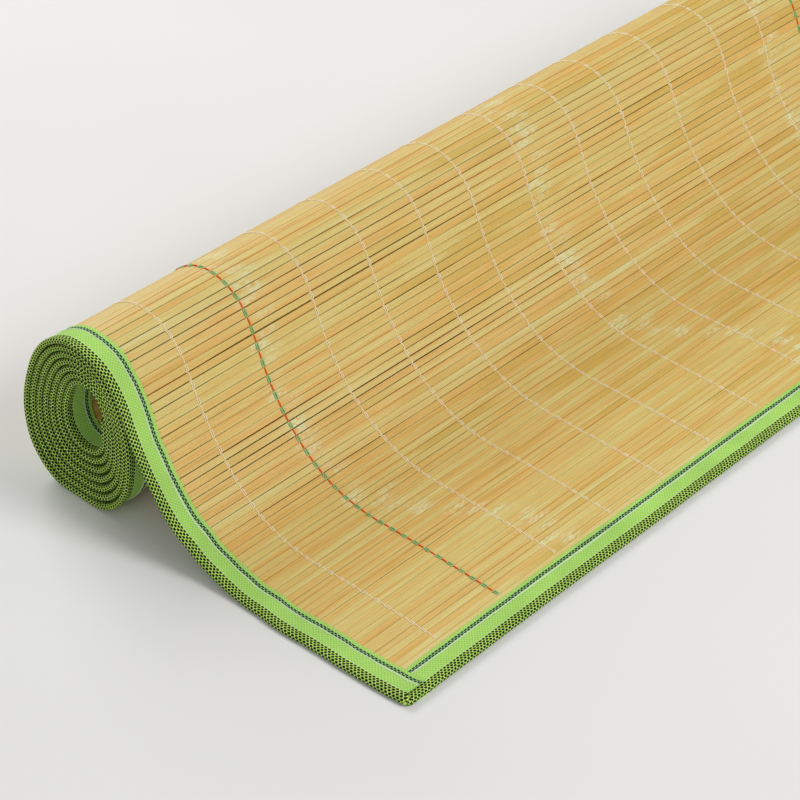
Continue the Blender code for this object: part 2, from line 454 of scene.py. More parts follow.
# Painted shade: the long edges of every slat are darkened towards brown, a painted shadow of the gaps between slats.
rim = smooth_between(tree, calc(tree, "ABSOLUTE", across), 0.94, 1.0)
colour = blend_colour(tree, calc(tree, "MULTIPLY", rim, 0.40), colour, (0.200, 0.130, 0.030, 1.0))
tree.links.new(colour, shader.inputs["Base Color"])
roughness = calc(tree, "MULTIPLY_ADD", streaks, 0.25, 0.38)
tree.links.new(roughness, shader.inputs["Roughness"])
relief = calc(tree, "MULTIPLY_ADD", pale, 0.6, calc(tree, "ADD", fibres, streaks))
bump = add(tree, "ShaderNodeBump", {"Strength": 0.45, "Distance": 0.0003, "Height": relief})
tree.links.new(bump.outputs[0], shader.inputs["Normal"])
print("bamboo material with", len(tree.nodes), "nodes")

# %% [markdown]
# ## Planning the slats
#
# A slat is about 5 mm wide. Where the mat bends outwards over the drape the threads stretch and
# dark gaps open, and where it lies flat the slats touch. A short table gives the pitch and the
# gap along the mat, and a seeded random number makes each slat a little wider or narrower.

# %% Plan the slats
SLAT_ROWS = (
    # distance, pitch, least gap, how far the gap can open
    (0.000, 0.00470, 0.00006, 0.00012),
    (0.120, 0.00480, 0.00006, 0.00024),
    (0.170, 0.00490, 0.00006, 0.00048),
    (0.215, 0.00515, 0.00007, 0.00080),
    (0.250, 0.00560, 0.00008, 0.00108),
    (0.285, 0.00600, 0.00008, 0.00100),
    (0.315, 0.00530, 0.00004, 0.00036),
    (0.345, 0.00495, 0.00003, 0.00014),
    (0.400, 0.00495, 0.00004, 0.00014),
    (mat_length, 0.00490, 0.00010, 0.00020),
)
NODE_SHIFT_ROWS = (
    # distance, shift of the bands of nodes
    (0.000, 0.064),
    (0.025, 0.062),
    (0.055, 0.056),
    (0.078, 0.054),
    (0.090, 0.036),
    (0.128, 0.012),
    (0.150, 0.000),
    (0.280, 0.000),
    (0.330, 0.005),
    (0.400, 0.004),
    (0.560, 0.040),
    (0.600, -0.030),
    (0.900, -0.012),
    (1.000, 0.060),
    (1.350, 0.046),
    (1.400, -0.050),
    (mat_length, -0.030),
)
PITCH_SPREAD = 0.07
TONE_RUN = 3

chance = random.Random(17)
slats = []
start = EDGE_INSET
while start < mat_length - EDGE_INSET:
    pitch, gap, opening = (np.interp(start, *zip(*[(row[0], row[k]) for row in SLAT_ROWS])) for k in (1, 2, 3))
    opening *= chance.choice((0.0, 0.2, 0.5, 0.9, 1.4))
    pitch *= 1 + chance.uniform(-PITCH_SPREAD, PITCH_SPREAD)
    pitch = min(pitch, mat_length - EDGE_INSET - start)
    slats.append({"middle": start + pitch / 2, "pitch": pitch, "width": max(pitch - gap, 0.0012), "opening": opening})
    start += pitch
family = 0.5
for index, slat in enumerate(slats):
    if index % TONE_RUN == 0:
        family = chance.gauss(0.5, 0.16)
    slat["tone"] = min(max(chance.gauss(family, 0.22), 0.0), 1.0)
    slat["node_shift"] = np.interp(slat["middle"], *zip(*NODE_SHIFT_ROWS)) + chance.gauss(0.0, 0.0050)
    slat["node_strength"] = chance.choice((0.0, 0.3, 0.6, 0.9, 1.0, 1.0))
    slat["turn"] = chance.gauss(0.0, math.radians(1.6))
    slat["lift"] = chance.gauss(0.0, 0.00007)
middles = np.array([slat["middle"] for slat in slats])
print(len(slats), "slats, the widest", round(max(s["width"] for s in slats) * 1000, 2), "mm")

# %% [markdown]
# ## Making the slats
#
# The tree sweeps a rounded rectangle along a straight line to make one slat, and places a copy
# on every point of the plan, turned to the slope of the mat and scaled to its own width. After
# the copies are realized, a slow noise bends each slat a little in the plane of the mat, so the
# gaps open and close along their length as they do on split bamboo.

# %% Slat tree
slat_tree, given, result = make_tree(
    "lay slats",
    "GeometryNodeTree",
    (
        ("Geometry", "NodeSocketGeometry", None),
        ("Slat Length", "NodeSocketFloat", 0.8),
        ("Slat Width", "NodeSocketFloat", 0.005),
        ("Slat Thickness", "NodeSocketFloat", 0.0015),
        ("Edge Radius", "NodeSocketFloat", 0.0003),
        ("Pieces Along", "NodeSocketInt", 24),
        ("Wander", "NodeSocketFloat", 0.0003),
        ("Finish", "NodeSocketMaterial", None),
    ),
    (("Geometry", "NodeSocketGeometry"),),
)
half = calc(slat_tree, "MULTIPLY", given.outputs["Slat Length"], 0.5)
ends = [add(slat_tree, "ShaderNodeCombineXYZ", {0: calc(slat_tree, "MULTIPLY", half, sign)}).outputs[0] for sign in (-1.0, 1.0)]
spine = add(slat_tree, "GeometryNodeCurvePrimitiveLine", {"Start": ends[0], "End": ends[1]}).outputs[0]
count = calc(slat_tree, "ADD", given.outputs["Pieces Along"], 1.0)
spine = add(slat_tree, "GeometryNodeResampleCurve", {"Curve": spine, "Count": count}).outputs[0]
profile = add(
    slat_tree,
    "GeometryNodeCurvePrimitiveQuadrilateral",
    {"Width": given.outputs["Slat Width"], "Height": given.outputs["Slat Thickness"]},
).outputs[0]
profile = add(
    slat_tree,
    "GeometryNodeFilletCurve",
    {"Curve": profile, "Radius": given.outputs["Edge Radius"], "Count": 1},
    mode="POLY",
).outputs[0]
slat_mesh = add(
    slat_tree, "GeometryNodeCurveToMesh", {"Curve": spine, "Profile Curve": profile, "Fill Caps": True}
).outputs[0]
local = add(slat_tree, "ShaderNodeSeparateXYZ", {0: add(slat_tree, "GeometryNodeInputPosition").outputs[0]})
half_width = calc(slat_tree, "MULTIPLY", given.outputs["Slat Width"], 0.5)
slat_mesh = add(
    slat_tree,
    "GeometryNodeStoreNamedAttribute",
    {"Geometry": slat_mesh, "Name": "across", "Value": calc(slat_tree, "DIVIDE", local.outputs[1], half_width)},
    data_type="FLOAT",
    domain="POINT",
).outputs[0]
own_scale = add(
    slat_tree,
    "ShaderNodeCombineXYZ",
    {0: calc(slat_tree, "DIVIDE", named(slat_tree, "length"), given.outputs["Slat Length"]), 1: calc(slat_tree, "DIVIDE", named(slat_tree, "width"), given.outputs["Slat Width"]), 2: 1.0},
).outputs[0]
own_turn = add(slat_tree, "ShaderNodeCombineXYZ", {0: named(slat_tree, "slope")}).outputs[0]
copies = add(
    slat_tree,
    "GeometryNodeInstanceOnPoints",
    {
        "Points": given.outputs["Geometry"],
        "Instance": slat_mesh,
        "Rotation": add(slat_tree, "FunctionNodeEulerToRotation", {0: own_turn}).outputs[0],
        "Scale": own_scale,
    },
).outputs[0]
copies = add(slat_tree, "GeometryNodeRealizeInstances", {"Geometry": copies}).outputs[0]
world_x = add(slat_tree, "ShaderNodeSeparateXYZ", {0: add(slat_tree, "GeometryNodeInputPosition").outputs[0]}).outputs[0]
own_number = named(slat_tree, "slat_number")


def slat_noise(rate, stride):
    """A noise along the slat, other for every slat, about zero."""
    place = {0: calc(slat_tree, "MULTIPLY", world_x, rate), 1: calc(slat_tree, "MULTIPLY", own_number, stride)}
    vector = add(slat_tree, "ShaderNodeCombineXYZ", place).outputs[0]
    value = add(slat_tree, "ShaderNodeTexNoise", {"Vector": vector, "Scale": 1.0, "Detail": 1.0}).outputs["Fac"]
    return calc(slat_tree, "SUBTRACT", value, 0.5)


wave = calc(slat_tree, "MULTIPLY", slat_noise(7.0, 5.3), given.outputs["Wander"])
open_part = add(
    slat_tree,
    "ShaderNodeMapRange",
    {"Value": slat_noise(9.0, 7.7), "From Min": -0.14, "From Max": 0.16},
    interpolation_type="SMOOTHSTEP",
).outputs[0]
open_right = add(
    slat_tree, "ShaderNodeMapRange", {"Value": world_x, "From Min": -0.25, "From Max": 0.25, "To Min": 1.0, "To Max": 0.15}
).outputs[0]
drawn_in = calc(slat_tree, "MULTIPLY", calc(slat_tree, "MULTIPLY", named(slat_tree, "opening"), open_part), open_right)
wave = calc(slat_tree, "MULTIPLY_ADD", calc(slat_tree, "MULTIPLY", drawn_in, -0.5), named(slat_tree, "across"), wave)
slope = named(slat_tree, "slope")
offset = add(
    slat_tree,
    "ShaderNodeCombineXYZ",
    {
        1: calc(slat_tree, "MULTIPLY", calc(slat_tree, "COSINE", slope), wave),
        2: calc(slat_tree, "MULTIPLY", calc(slat_tree, "SINE", slope), wave),
    },
).outputs[0]
copies = add(slat_tree, "GeometryNodeSetPosition", {"Geometry": copies, "Offset": offset}).outputs[0]
copies = add(slat_tree, "GeometryNodeSetShadeSmooth", {"Geometry": copies, "Shade Smooth": False}).outputs[0]
copies = add(slat_tree, "GeometryNodeSetMaterial", {"Geometry": copies, "Material": given.outputs["Finish"]}).outputs[0]
slat_tree.links.new(copies, result.inputs[0])
print("slat tree with", len(slat_tree.nodes), "nodes")

# %% Lay the slats
SLAT_WIDTH = 0.005
CORNER_ROUND = 0.0042


def rounded(distance):
    """How far the outline is drawn in at a rounded corner, by the distance from the corner."""
    short = np.clip(CORNER_ROUND - distance, 0.0, CORNER_ROUND)
    return CORNER_ROUND - np.sqrt(CORNER_ROUND**2 - short**2)


corner_inset = rounded(middles - np.array([slat["pitch"] for slat in slats]) / 2) + EDGE_INSET
left_ends = -MAT_WIDTH / 2 + left_inset(middles) + corner_inset
right_ends = MAT_WIDTH / 2 - corner_inset
lifts = np.array([slat["lift"] for slat in slats])
slat_points = point_cloud(
    "bamboo_slats",
    to_space((left_ends + right_ends) / 2, middles, lifts),
    slope=slope_at(middles) + np.array([slat["turn"] for slat in slats]),
    length=right_ends - left_ends,
    width=[slat["width"] for slat in slats],
    opening=[slat["opening"] for slat in slats],
    tone=[slat["tone"] for slat in slats],
    node_shift=[slat["node_shift"] for slat in slats],
    node_strength=[slat["node_strength"] for slat in slats],
    slat_number=np.arange(len(slats)),
)
bamboo_slats = run_tree(
    slat_points,
    slat_tree,
    slat_length=MAT_WIDTH - 2 * EDGE_INSET,
    slat_width=SLAT_WIDTH,
    slat_thickness=SLAT_THICKNESS,
    edge_radius=0.00024,
    pieces_along=24,
    wander=0.0006,
    finish=bamboo,
)

# %% [markdown]
# ## Yarn finishes
#
# The warp threads and the sewing thread are twisted yarn. They share one small effect, a fine
# slanting stripe for the twist, so it is a node group with named inputs. Each yarn's material
# sets its own two colours.

# %% Yarn materials
twist, given, result = make_tree(
    "yarn twist",
    "ShaderNodeTree",
    (
        ("Vector", "NodeSocketVector", None),
        ("Light Colour", "NodeSocketColor", (0.8, 0.8, 0.8, 1.0)),
        ("Dark Colour", "NodeSocketColor", (0.4, 0.4, 0.4, 1.0)),
        ("Turns Per Metre", "NodeSocketFloat", 1200.0),
    ),
    (("Colour", "NodeSocketColor"), ("Height", "NodeSocketFloat")),
)
axes = add(twist, "ShaderNodeSeparateXYZ", {0: given.outputs["Vector"]})
slant = calc(twist, "ADD", axes.outputs[0], calc(twist, "ADD", axes.outputs[1], axes.outputs[2]))
phase = calc(twist, "MULTIPLY", slant, calc(twist, "MULTIPLY", given.outputs["Turns Per Metre"], 2 * math.pi))
stripe = calc(twist, "MULTIPLY_ADD", calc(twist, "SINE", phase), 0.5, 0.5)
fuzz = add(twist, "ShaderNodeTexNoise", {"Vector": given.outputs["Vector"], "Scale": 2500.0, "Detail": 2.0}).outputs["Fac"]
shade = calc(twist, "MULTIPLY_ADD", fuzz, 0.5, calc(twist, "MULTIPLY", stripe, 0.6))
yarn_colour = blend_colour(twist, shade, given.outputs["Dark Colour"], given.outputs["Light Colour"])
twist.links.new(yarn_colour, result.inputs["Colour"])
twist.links.new(shade, result.inputs["Height"])


def yarn_material(name, light, dark, roughness=0.8):
    mat, tree, shader = new_material(name)
    coordinates = add(tree, "ShaderNodeTexCoord").outputs["Object"]
    inputs = {"Vector": coordinates, "Light Colour": (*light, 1.0), "Dark Colour": (*dark, 1.0)}
    group = add(tree, "ShaderNodeGroup", node_tree=twist)
    for key, value in inputs.items():
        if isinstance(value, bpy.types.NodeSocket):
            tree.links.new(value, group.inputs[key])
        else:
            group.inputs[key].default_value = value
    tree.links.new(group.outputs["Colour"], shader.inputs["Base Color"])
    bump = add(tree, "ShaderNodeBump", {"Strength": 0.4, "Distance": 0.0001, "Height": group.outputs["Height"]})
    tree.links.new(bump.outputs[0], shader.inputs["Normal"])
    shader.inputs["Roughness"].default_value = roughness
    shader.inputs["Specular IOR Level"].default_value = 0.15
    return mat


white_yarn = yarn_material("white_yarn", (0.97, 0.88, 0.66), (0.94, 0.81, 0.56))
red_yarn = yarn_material("red_yarn", (0.90, 0.15, 0.03), (0.66, 0.06, 0.01))
green_yarn = yarn_material("green_yarn", (0.42, 0.72, 0.34), (0.10, 0.32, 0.10))
sewing_yarn = yarn_material("sewing_yarn", (0.88, 0.94, 0.82), (0.56, 0.68, 0.54), 0.6)

# %% [markdown]
# ## Warp threads
#
# Two yarns hold each line of slats: a thin one runs over one slat and under the next, and a
# doubled one runs opposite to it. Seen from above, short thick stitches and thin ones take
# turns. Twelve lines are white, and the second line from each side is red and green. One stitch
# is a short arch of yarn that dives into the gap at both ends, so the tree makes one arch and
# places it over every second slat. The part of the mat that is rolled up gets simpler arches,
# because only its ends show.

# %% Stitch tree
stitch_tree, given, result = make_tree(
    "lay stitches",
    "GeometryNodeTree",
    (
        ("Geometry", "NodeSocketGeometry", None),
        ("Span", "NodeSocketFloat", 0.005),
        ("Rise", "NodeSocketFloat", 0.001),
        ("Yarn Radius", "NodeSocketFloat", 0.0003),
        ("Yarns", "NodeSocketInt", 1),
        ("Yarn Spacing", "NodeSocketFloat", 0.0006),
        ("Points Along", "NodeSocketInt", 8),
        ("Sides", "NodeSocketInt", 5),
        ("Finish", "NodeSocketMaterial", None),
    ),
    (("Geometry", "NodeSocketGeometry"),),
)
half = calc(stitch_tree, "MULTIPLY", given.outputs["Span"], 0.5)
ends = [
    add(stitch_tree, "ShaderNodeCombineXYZ", {1: calc(stitch_tree, "MULTIPLY", half, sign)}).outputs[0]
    for sign in (-1.0, 1.0)
]
arch = add(stitch_tree, "GeometryNodeCurvePrimitiveLine", {"Start": ends[0], "End": ends[1]}).outputs[0]
arch = add(stitch_tree, "GeometryNodeResampleCurve", {"Curve": arch, "Count": given.outputs["Points Along"]}).outputs[0]
local_y = add(stitch_tree, "ShaderNodeSeparateXYZ", {0: add(stitch_tree, "GeometryNodeInputPosition").outputs[0]}).outputs[1]
reach = calc(stitch_tree, "ABSOLUTE", calc(stitch_tree, "DIVIDE", local_y, half))
fall = calc(stitch_tree, "POWER", calc(stitch_tree, "MINIMUM", reach, 1.0), 5.0)
height = calc(stitch_tree, "MULTIPLY", given.outputs["Rise"], calc(stitch_tree, "SQRT", calc(stitch_tree, "SUBTRACT", 1.0, fall)))
raised = add(stitch_tree, "ShaderNodeCombineXYZ", {2: height}).outputs[0]
arch = add(stitch_tree, "GeometryNodeSetPosition", {"Geometry": arch, "Offset": raised}).outputs[0]
ring = add(
    stitch_tree,
    "GeometryNodeCurvePrimitiveCircle",
    {"Resolution": given.outputs["Sides"], "Radius": given.outputs["Yarn Radius"]},
).outputs[0]
yarn = add(
    stitch_tree, "GeometryNodeCurveToMesh", {"Curve": arch, "Profile Curve": ring, "Fill Caps": True}
).outputs[0]
side_step = add(stitch_tree, "ShaderNodeCombineXYZ", {0: given.outputs["Yarn Spacing"]}).outputs[0]
first_yarn = calc(stitch_tree, "MULTIPLY", calc(stitch_tree, "SUBTRACT", given.outputs["Yarns"], 1.0), -0.5)
first_yarn = calc(stitch_tree, "MULTIPLY", first_yarn, given.outputs["Yarn Spacing"])
strands = add(
    stitch_tree,
    "GeometryNodeMeshLine",
    {
        "Count": given.outputs["Yarns"],
        "Start Location": add(stitch_tree, "ShaderNodeCombineXYZ", {0: first_yarn}).outputs[0],
        "Offset": side_step,
    },
).outputs[0]
stitch = add(stitch_tree, "GeometryNodeInstanceOnPoints", {"Points": strands, "Instance": yarn}).outputs[0]
stitch = add(stitch_tree, "GeometryNodeRealizeInstances", {"Geometry": stitch}).outputs[0]
own_scale = add(
    stitch_tree,
    "ShaderNodeCombineXYZ",
    {0: 1.0, 1: calc(stitch_tree, "DIVIDE", named(stitch_tree, "span"), given.outputs["Span"]), 2: 1.0},
).outputs[0]
own_turn = add(stitch_tree, "FunctionNodeEulerToRotation", {0: named(stitch_tree, "turn", "FLOAT_VECTOR")}).outputs[0]
copies = add(
    stitch_tree,
    "GeometryNodeInstanceOnPoints",
    {"Points": given.outputs["Geometry"], "Instance": stitch, "Rotation": own_turn, "Scale": own_scale},
).outputs[0]
copies = add(stitch_tree, "GeometryNodeRealizeInstances", {"Geometry": copies}).outputs[0]
copies = add(stitch_tree, "GeometryNodeSetShadeSmooth", {"Geometry": copies}).outputs[0]
copies = add(stitch_tree, "GeometryNodeSetMaterial", {"Geometry": copies, "Material": given.outputs["Finish"]}).outputs[0]
stitch_tree.links.new(copies, result.inputs[0])
print("stitch tree with", len(stitch_tree.nodes), "nodes")

# %% Sew the warp threads
THREADS_FROM_LEFT = (
    0.0570, 0.1125, 0.1655, 0.2200, 0.2720, 0.3215, 0.3736,
    0.4317, 0.4800, 0.5364, 0.5982, 0.6454, 0.6907, 0.7430,
)
COLOURED_THREADS = (1, 12)
FIRST_PAIR = 0.0282
THREAD_SWAY = 0.0022
ROLLED_FROM = 0.74
SINGLE = {"yarn_radius": 0.00032, "yarns": 1, "yarn_spacing": 0.0}
PAIR = {"yarn_radius": 0.00034, "yarns": 2, "yarn_spacing": 0.00130}
GREEN_PAIR = {"yarn_radius": 0.00046, "yarns": 2, "yarn_spacing": 0.00150}
RED_SINGLE = {"yarn_radius": 0.00050, "yarns": 1, "yarn_spacing": 0.0}

pair_parity = int(np.argmin(np.abs(middles - FIRST_PAIR))) % 2
stitched = [k for k, middle in enumerate(middles) if TAPE_WIDTH < middle - slats[k]["pitch"] / 2 and middle + slats[k]["pitch"] / 2 < mat_length - TAPE_WIDTH]


def stitch_points(name, threads, parity, side, low, high):
    """Points for the stitches of some threads over slats of one parity, on the top (1) or the underside (-1)."""
    chosen = [k for k in stitched if k % 2 == parity and low <= middles[k] < high]
    places, turns, spans = [], [], []
    for thread in threads:
        for k in chosen:
            sway = THREAD_SWAY * noise.noise(Vector((middles[k] * 9.0, thread * 3.7, 0.0)))
            x = THREADS_FROM_LEFT[thread] - MAT_WIDTH / 2 + sway
            places.append(to_space(x, middles[k], 0.0))
            turns.append((slope_at(middles[k]) + (0.0 if side > 0 else math.pi), 0.0, 0.0))
            spans.append(slats[k]["pitch"])
    return point_cloud(name, places, turn=turns, span=spans)


def sew(name, threads, parity, yarns, finish):
    """One yarn of the warp: over the slats of this parity and under the others."""
    pieces = []
    rise = HALF_SLAT + yarns["yarn_radius"] * 0.8
    for label, side, low, high, points, sides in (
        ("top", 1, 0.0, ROLLED_FROM, 7, 5),
        ("under", -1, 0.0, ROLLED_FROM, 5, 4),
        ("top_rolled", 1, ROLLED_FROM, mat_length, 4, 3),
        ("under_rolled", -1, ROLLED_FROM, mat_length, 4, 3),
    ):
        own_parity = parity if side > 0 else 1 - parity
        cloud = stitch_points(f"{name}_{label}", threads, own_parity, side, low, high)
        pieces.append(
            run_tree(
                cloud, stitch_tree, span=SLAT_WIDTH, rise=rise, points_along=points, sides=sides, finish=finish, **yarns
            )
        )
    return join_pieces(name, pieces)


def join_pieces(name, pieces):
    """Several objects as one, under the first one's materials."""
    shape = bmesh.new()
    for piece in pieces:
        shape.from_mesh(piece.data)
    mesh = bpy.data.meshes.new(name)
    shape.to_mesh(mesh)
    shape.free()
    mesh.materials.append(pieces[0].data.materials[0])
    mesh.shade_smooth()
    for piece in pieces:
        old = piece.data
        bpy.data.objects.remove(piece, do_unlink=True)
        bpy.data.meshes.remove(old)
    obj = bpy.data.objects.new(name, mesh)
    bpy.context.scene.collection.objects.link(obj)
    return obj


white_threads = [k for k in range(len(THREADS_FROM_LEFT)) if k not in COLOURED_THREADS]
warp = [
    sew("white_single_yarn", white_threads, 1 - pair_parity, SINGLE, white_yarn),
    sew("white_double_yarn_left", white_threads[:6], pair_parity, PAIR, white_yarn),
    sew("white_double_yarn_right", white_threads[6:], pair_parity, PAIR, white_yarn),
    sew("red_yarn", COLOURED_THREADS, 1 - pair_parity, RED_SINGLE, red_yarn),
    sew("green_yarn", COLOURED_THREADS, pair_parity, GREEN_PAIR, green_yarn),
]
for piece in warp:
    piece.data.calc_loop_triangles()
    print(piece.name, len(piece.data.loop_triangles), "triangles")

# %% [markdown]
# ## Binding tape finish
#
# The tape is a light green polyester ribbon. It is woven plain in most places, and along its
# middle, which is folded over the edge of the mat, and beside its two rims it has open rows of
# small holes, set in a staggered net. The holes are painted as dark dots, a painted shade for
# what shows through them. The tape's UV map holds real metres: U across the tape, counted from
# the fold, and V along it. With real sizes in the map the rows and the weave can be written
# down as they were measured.

# %% Tape material
DOT_PITCH = 0.00285
NET_ROWS = {"Row Pitch": 0.00165, "Dot Pitch": DOT_PITCH, "Dot Across": 0.00078, "Dot Along": 0.00102}
RIM_ROWS = {"Row Pitch": 0.00125, "Dot Pitch": DOT_PITCH, "Dot Across": 0.00066, "Dot Along": 0.00112}
NET_HALF_WIDTH = 0.0073
RIM_FIRST_ROW = 0.0181
RIM_NET = (0.0174, 0.0200)
TWILL_PITCH = 0.0023
CORNER_PLAIN = 0.0055
BORDERS = ((0.0075, 0.00025), (0.0169, 0.00040))

dot_net, given, result = make_tree(
    "staggered dots",
    "ShaderNodeTree",
    (
        ("Across", "NodeSocketFloat", 0.0),
        ("Along", "NodeSocketFloat", 0.0),
        ("Row Pitch", "NodeSocketFloat", 0.00165),
        ("Dot Pitch", "NodeSocketFloat", 0.00285),
        ("Dot Across", "NodeSocketFloat", 0.0007),
        ("Dot Along", "NodeSocketFloat", 0.0009),
    ),
    (("Dots", "NodeSocketFloat"),),
)
row_place = calc(dot_net, "DIVIDE", given.outputs["Across"], given.outputs["Row Pitch"])
row = calc(dot_net, "ROUND", row_place)
off_row = calc(dot_net, "MULTIPLY", calc(dot_net, "SUBTRACT", row_place, row), given.outputs["Row Pitch"])
off_row = calc(dot_net, "DIVIDE", off_row, given.outputs["Dot Across"])
stagger = calc(dot_net, "MULTIPLY", calc(dot_net, "FLOORED_MODULO", row, 2.0), 0.5)
dot_place = calc(dot_net, "ADD", calc(dot_net, "DIVIDE", given.outputs["Along"], given.outputs["Dot Pitch"]), stagger)
dot_place = calc(dot_net, "SUBTRACT", calc(dot_net, "FRACT", dot_place), 0.5)
off_dot = calc(dot_net, "MULTIPLY", dot_place, given.outputs["Dot Pitch"])
off_dot = calc(dot_net, "DIVIDE", off_dot, given.outputs["Dot Along"])
squares = [calc(dot_net, "MULTIPLY", value, value) for value in (off_row, off_dot)]
from_dot = calc(dot_net, "SQRT", calc(dot_net, "ADD", *squares))
dot_net.links.new(smooth_between(dot_net, from_dot, 1.15, 0.88), result.inputs["Dots"])

twill, given, result = make_tree(
    "twill weave",
    "ShaderNodeTree",
    (
        ("Across", "NodeSocketFloat", 0.0),
        ("Along", "NodeSocketFloat", 0.0),
        ("Pitch", "NodeSocketFloat", 0.0015),
    ),
    (("Height", "NodeSocketFloat"),),
)
turn = calc(twill, "DIVIDE", 2 * math.pi, given.outputs["Pitch"])
rib = calc(twill, "SINE", calc(twill, "MULTIPLY", calc(twill, "ADD", given.outputs["Across"], given.outputs["Along"]), turn))
pick = calc(twill, "MULTIPLY", calc(twill, "SUBTRACT", given.outputs["Across"], given.outputs["Along"]), turn)
pick = calc(twill, "SINE", pick)
woven = calc(twill, "MULTIPLY_ADD", rib, 0.27, calc(twill, "MULTIPLY_ADD", pick, 0.23, 0.5))
twill.links.new(woven, result.inputs["Height"])

tape, tree, shader = new_material("binding_tape_cloth")
uv = add(tree, "ShaderNodeSeparateXYZ", {0: add(tree, "ShaderNodeUVMap", uv_map="tape").outputs[0]})
wobble_vector = add(tree, "ShaderNodeCombineXYZ", {0: uv.outputs[0], 1: uv.outputs[1]}).outputs[0]
wobble = add(tree, "ShaderNodeTexNoise", {"Vector": wobble_vector, "Scale": 60.0, "Detail": 2.0}).outputs["Fac"]
u = calc(tree, "MULTIPLY_ADD", calc(tree, "SUBTRACT", wobble, 0.5), 0.0009, uv.outputs[0])
v = calc(tree, "MULTIPLY_ADD", wobble, 0.0012, uv.outputs[1])


def dots(across, along, sizes):
    """The mask of a net of dots in the tape's material."""
    group = add(tree, "ShaderNodeGroup", {}, node_tree=dot_net)
    tree.links.new(across, group.inputs["Across"])
    tree.links.new(along, group.inputs["Along"])
    for label, size in sizes.items():
        group.inputs[label].default_value = size
    return group.outputs["Dots"]


u_size = calc(tree, "ABSOLUTE", u)
rim_place = calc(tree, "SUBTRACT", u_size, RIM_FIRST_ROW)
in_net = smooth_between(tree, u_size, NET_HALF_WIDTH + 0.0002, NET_HALF_WIDTH - 0.0002)
in_rim_net = calc(
    tree,
    "MULTIPLY",
    smooth_between(tree, u_size, RIM_NET[0] - 0.0002, RIM_NET[0] + 0.0002),
    smooth_between(tree, u_size, RIM_NET[1] + 0.0002, RIM_NET[1] - 0.0002),
)
spot = add(tree, "ShaderNodeSeparateXYZ", {0: add(tree, "ShaderNodeTexCoord").outputs["Object"]})
to_side = calc(tree, "SUBTRACT", calc(tree, "ABSOLUTE", calc(tree, "SUBTRACT", spot.outputs[0], shift_x)), MAT_WIDTH / 2)
to_front = calc(tree, "SUBTRACT", spot.outputs[1], float(to_space(0.0, 0.0, 0.0)[1]))
squares = [calc(tree, "MULTIPLY", value, value) for value in (to_side, to_front)]
from_corner = calc(tree, "SQRT", calc(tree, "ADD", *squares))
away_from_corner = smooth_between(tree, from_corner, CORNER_PLAIN, CORNER_PLAIN + 0.0008)
twill_group = add(tree, "ShaderNodeGroup", node_tree=twill)
twill_group.inputs["Pitch"].default_value = TWILL_PITCH
tree.links.new(uv.outputs[0], twill_group.inputs["Across"])
tree.links.new(uv.outputs[1], twill_group.inputs["Along"])
woven = twill_group.outputs["Height"]
plain_colour = blend_colour(tree, woven, (0.300, 0.570, 0.085, 1.0), (0.480, 0.780, 0.205, 1.0))
net_colour = blend_colour(tree, woven, (0.320, 0.600, 0.045, 1.0), (0.700, 0.920, 0.240, 1.0))
rim_colour = blend_colour(tree, woven, (0.320, 0.580, 0.160, 1.0), (0.520, 0.760, 0.360, 1.0))
tape_colour = blend_colour(tree, in_net, plain_colour, net_colour)
tape_colour = blend_colour(tree, in_rim_net, tape_colour, rim_colour)
for middle, half_width in BORDERS:
    off_border = calc(tree, "ABSOLUTE", calc(tree, "SUBTRACT", u_size, middle))
    on_border = calc(tree, "MULTIPLY", smooth_between(tree, off_border, 1.3 * half_width, 0.6 * half_width), 0.6)
    tape_colour = blend_colour(tree, on_border, tape_colour, (0.620, 0.820, 0.450, 1.0))
patches = add(tree, "ShaderNodeTexNoise", {"Vector": wobble_vector, "Scale": 25.0, "Detail": 3.0}).outputs["Fac"]
patch_shade = ramp(tree, patches, ((0.3, 0.88), (0.7, 1.06)))
tape_colour = blend_colour(tree, 1.0, tape_colour, patch_shade, "MULTIPLY")
net_dot = calc(tree, "MULTIPLY", dots(u, v, NET_ROWS), in_net)
net_dot = calc(tree, "MULTIPLY", net_dot, away_from_corner)
rim_dot = calc(tree, "MULTIPLY", dots(rim_place, v, RIM_ROWS), in_rim_net)
# Painted shade: the holes of both nets are painted near-black green, for the shade that shows through them.
tape_colour = blend_colour(tree, net_dot, tape_colour, (0.006, 0.018, 0.003, 1.0))
tape_colour = blend_colour(tree, rim_dot, tape_colour, (0.010, 0.055, 0.028, 1.0))
tree.links.new(tape_colour, shader.inputs["Base Color"])
holes = calc(tree, "ADD", net_dot, rim_dot)
relief = calc(tree, "MULTIPLY_ADD", woven, 0.5, calc(tree, "MULTIPLY", holes, -1.0))
bump = add(tree, "ShaderNodeBump", {"Strength": 0.8, "Distance": 0.0005, "Height": relief})
tree.links.new(bump.outputs[0], shader.inputs["Normal"])
shader.inputs["Roughness"].default_value = 0.75
shader.inputs["Specular IOR Level"].default_value = 0.12
print("tape material with", len(tree.nodes), "nodes")

# %% [markdown]
# ## Shape of the folded tape
#
# Across its width the tape is a U: it lies on the top of the slats, rounds the edge and comes
# back underneath. The fold stands a little prouder than the stitched rim. Each binding is a
# closed sheet with an outer and an inner face, swept along the edge of the mat. At a front
# corner the side tape lies over the front tape, and its upper leaf stops short of the fold, so
# the net of the front tape runs on to the corner.

# %% Cross-section of the tape
TAPE_CLOTH = 0.0007
FOLD_RADIUS = HALF_BOUND
SETTLE = 0.00050
NOSE_ARC = math.pi / 2 * FOLD_RADIUS
TAPE_ARC = NOSE_ARC + TAPE_WIDTH - FOLD_RADIUS
NOSE_STEPS = 5
LEAF_STEPS = 7


def smooth(value, low, high):
    """0 below low, 1 above high and smooth between them."""
    part = np.clip((value - low) / (high - low), 0.0, 1.0)
    return part * part * (3 - 2 * part)


